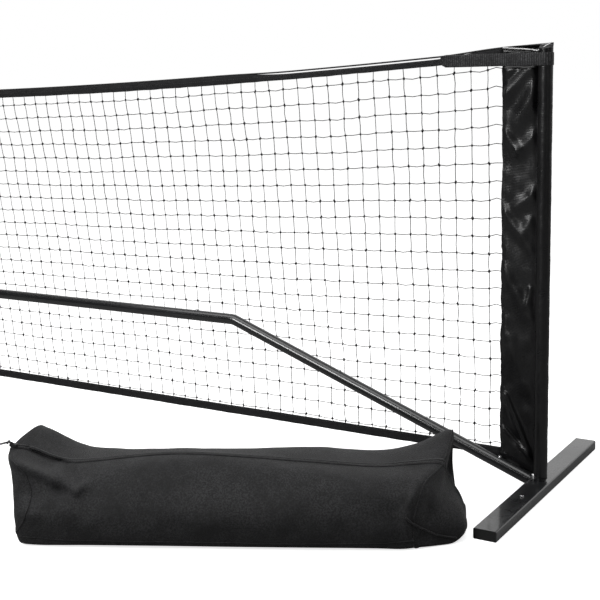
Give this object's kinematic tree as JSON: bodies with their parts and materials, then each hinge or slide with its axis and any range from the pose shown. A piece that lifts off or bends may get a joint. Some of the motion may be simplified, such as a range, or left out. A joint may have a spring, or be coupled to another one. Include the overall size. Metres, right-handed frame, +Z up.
{
  "type": "portable pickleball net",
  "caption": "Free-standing pickleball net on a knock-down black steel frame with straight bars, bent end arms, flat feet and vinyl-sleeved posts, with its zipped carry bag",
  "frame": {"origin": "On the ground under the middle of the centre foot", "axes": "+X along the net towards the end that the carry bag lies beside, +Z up, the bag on the -Y side of the net"},
  "size_m": [6.754, 1.0381, 0.914],
  "materials": {
    "coated_steel": "semi-gloss charcoal powder coat",
    "plastic": "moulded black plastic",
    "plated_button": "bright plated",
    "spring_steel": "plain strip steel",
    "net_cord": "knotted black polyethylene twine",
    "webbing": "ribbed black webbing",
    "vinyl": "glossy black vinyl-coated cloth",
    "bag_cloth": "black woven polyester",
    "zip": "black zip tape",
    "slider_metal": "black enamelled slider"
  },
  "bodies": {
    "frame": {"foot_rear_right": "coated_steel", "foot_front_right": "coated_steel", "foot_rear_left": "coated_steel", "foot_front_left": "coated_steel", "foot_rear_centre": "coated_steel", "foot_front_centre": "coated_steel", "foot_plugs": "plastic", "arm_lower_right": "coated_steel", "arm_bent_right": "coated_steel", "bar_outer_right": "coated_steel", "bar_middle_right": "coated_steel", "bar_inner_right": "coated_steel", "arm_lower_left": "coated_steel", "arm_bent_left": "coated_steel", "bar_outer_left": "coated_steel", "bar_middle_left": "coated_steel", "bar_inner_left": "coated_steel", "centre_tee": "coated_steel", "snap_springs": "spring_steel"},
    "post_lower_right": {"post_lower_right": "coated_steel"},
    "post_lower_left": {"post_lower_left": "coated_steel"},
    "post_upper_right": {"post_upper_right": "coated_steel", "post_cap_right": "plastic"},
    "post_upper_left": {"post_upper_left": "coated_steel", "post_cap_left": "plastic"},
    "centre_post": {"centre_post": "coated_steel", "centre_post_cap": "plastic"},
    "net": {"net_mesh": "net_cord", "headband": "webbing", "tension_cord": "net_cord", "bottom_tape": "webbing", "centre_loop": "webbing", "sleeve_right": "vinyl", "sleeve_left": "vinyl", "strap_right": "webbing", "strap_left": "webbing"},
    "bag": {"bag_shell": "bag_cloth", "zip_tape": "zip"},
    "zip_slider": {"zip_slider": "slider_metal"},
    "zip_pull_front": {"zip_pull_front": "slider_metal"},
    "zip_pull_rear": {"zip_pull_rear": "slider_metal"},
    "button_arm_root_right": {"button_arm_root_right": "plated_button"},
    "button_arm_joint_right": {"button_arm_joint_right": "plated_button"},
    "button_bar_outer_right": {"button_bar_outer_right": "plated_button"},
    "button_bar_middle_right": {"button_bar_middle_right": "plated_button"},
    "button_bar_inner_right": {"button_bar_inner_right": "plated_button"},
    "button_tee_right": {"button_tee_right": "plated_button"},
    "button_arm_root_left": {"button_arm_root_left": "plated_button"},
    "button_arm_joint_left": {"button_arm_joint_left": "plated_button"},
    "button_bar_outer_left": {"button_bar_outer_left": "plated_button"},
    "button_bar_middle_left": {"button_bar_middle_left": "plated_button"},
    "button_bar_inner_left": {"button_bar_inner_left": "plated_button"},
    "button_tee_left": {"button_tee_left": "plated_button"},
    "button_foot_right": {"button_foot_right": "plated_button"},
    "button_foot_left": {"button_foot_left": "plated_button"},
    "button_foot_centre": {"button_foot_centre": "plated_button"}
  },
  "joints": [
    {"name": "post_right_lift", "type": "slide", "parent": "frame", "child": "post_lower_right", "axis": [0, 0, 1], "range_m": [0, 0.075]},
    {"name": "post_left_lift", "type": "slide", "parent": "frame", "child": "post_lower_left", "axis": [0, 0, 1], "range_m": [0, 0.075]},
    {"name": "centre_post_lift", "type": "slide", "parent": "frame", "child": "centre_post", "axis": [0, 0, 1], "range_m": [0, 0.05]},
    {"name": "post_right_split", "type": "slide", "parent": "post_lower_right", "child": "post_upper_right", "axis": [0, 0, 1], "range_m": [0, 0.06]},
    {"name": "post_left_split", "type": "slide", "parent": "post_lower_left", "child": "post_upper_left", "axis": [0, 0, 1], "range_m": [0, 0.06]},
    {"name": "net_lift", "type": "slide", "parent": "post_upper_right", "child": "net", "axis": [0, 0, 1], "range_m": [0, 0.9]},
    {"name": "press_arm_root_right", "type": "slide", "parent": "frame", "child": "button_arm_root_right", "axis": [-0.3488, 0, -0.9372], "range_m": [0, 0.004], "stiffness_N_per_m": 600, "springref_m": -0.003},
    {"name": "press_arm_joint_right", "type": "slide", "parent": "frame", "child": "button_arm_joint_right", "axis": [-0.3488, 0, -0.9372], "range_m": [0, 0.004], "stiffness_N_per_m": 600, "springref_m": -0.003},
    {"name": "press_bar_outer_right", "type": "slide", "parent": "frame", "child": "button_bar_outer_right", "axis": [0, 0, -1], "range_m": [0, 0.004], "stiffness_N_per_m": 600, "springref_m": -0.003},
    {"name": "press_bar_middle_right", "type": "slide", "parent": "frame", "child": "button_bar_middle_right", "axis": [0, 0, -1], "range_m": [0, 0.004], "stiffness_N_per_m": 600, "springref_m": -0.003},
    {"name": "press_bar_inner_right", "type": "slide", "parent": "frame", "child": "button_bar_inner_right", "axis": [0, 0, -1], "range_m": [0, 0.004], "stiffness_N_per_m": 600, "springref_m": -0.003},
    {"name": "press_tee_right", "type": "slide", "parent": "frame", "child": "button_tee_right", "axis": [0, 0, -1], "range_m": [0, 0.004], "stiffness_N_per_m": 600, "springref_m": -0.003},
    {"name": "press_arm_root_left", "type": "slide", "parent": "frame", "child": "button_arm_root_left", "axis": [0.3488, 0, -0.9372], "range_m": [0, 0.004], "stiffness_N_per_m": 600, "springref_m": -0.003},
    {"name": "press_arm_joint_left", "type": "slide", "parent": "frame", "child": "button_arm_joint_left", "axis": [0.3488, 0, -0.9372], "range_m": [0, 0.004], "stiffness_N_per_m": 600, "springref_m": -0.003},
    {"name": "press_bar_outer_left", "type": "slide", "parent": "frame", "child": "button_bar_outer_left", "axis": [0, 0, -1], "range_m": [0, 0.004], "stiffness_N_per_m": 600, "springref_m": -0.003},
    {"name": "press_bar_middle_left", "type": "slide", "parent": "frame", "child": "button_bar_middle_left", "axis": [0, 0, -1], "range_m": [0, 0.004], "stiffness_N_per_m": 600, "springref_m": -0.003},
    {"name": "press_bar_inner_left", "type": "slide", "parent": "frame", "child": "button_bar_inner_left", "axis": [0, 0, -1], "range_m": [0, 0.004], "stiffness_N_per_m": 600, "springref_m": -0.003},
    {"name": "press_tee_left", "type": "slide", "parent": "frame", "child": "button_tee_left", "axis": [0, 0, -1], "range_m": [0, 0.004], "stiffness_N_per_m": 600, "springref_m": -0.003},
    {"name": "press_foot_right", "type": "slide", "parent": "frame", "child": "button_foot_right", "axis": [0, 0, -1], "range_m": [0, 0.004], "stiffness_N_per_m": 600, "springref_m": -0.003},
    {"name": "press_foot_left", "type": "slide", "parent": "frame", "child": "button_foot_left", "axis": [0, 0, -1], "range_m": [0, 0.004], "stiffness_N_per_m": 600, "springref_m": -0.003},
    {"name": "press_foot_centre", "type": "slide", "parent": "frame", "child": "button_foot_centre", "axis": [0, 0, -1], "range_m": [0, 0.004], "stiffness_N_per_m": 600, "springref_m": -0.003},
    {"name": "bag_lift", "type": "slide", "parent": "frame", "child": "bag", "axis": [0, 0, 1], "range_m": [0, 0.3]},
    {"name": "zip_run", "type": "slide", "parent": "bag", "child": "zip_slider", "axis": [0.8881, 0.4582, -0.0368], "range_m": [0, 0.802]},
    {"name": "pull_front_swing", "type": "hinge", "parent": "zip_slider", "child": "zip_pull_front", "pos_m": [2.50735, -0.68103, 0.18389], "axis": [-0.4384, 0.8988, 0], "range_deg": [-76, 190]},
    {"name": "pull_rear_swing", "type": "hinge", "parent": "zip_slider", "child": "zip_pull_rear", "pos_m": [2.50735, -0.68103, 0.18389], "axis": [-0.4384, 0.8988, 0], "range_deg": [-76, 190]}
  ],
  "couplings": [
    {"joint": "post_left_lift", "follows": "post_right_lift", "ratio": 1},
    {"joint": "post_left_split", "follows": "post_right_split", "ratio": 1}
  ]
}
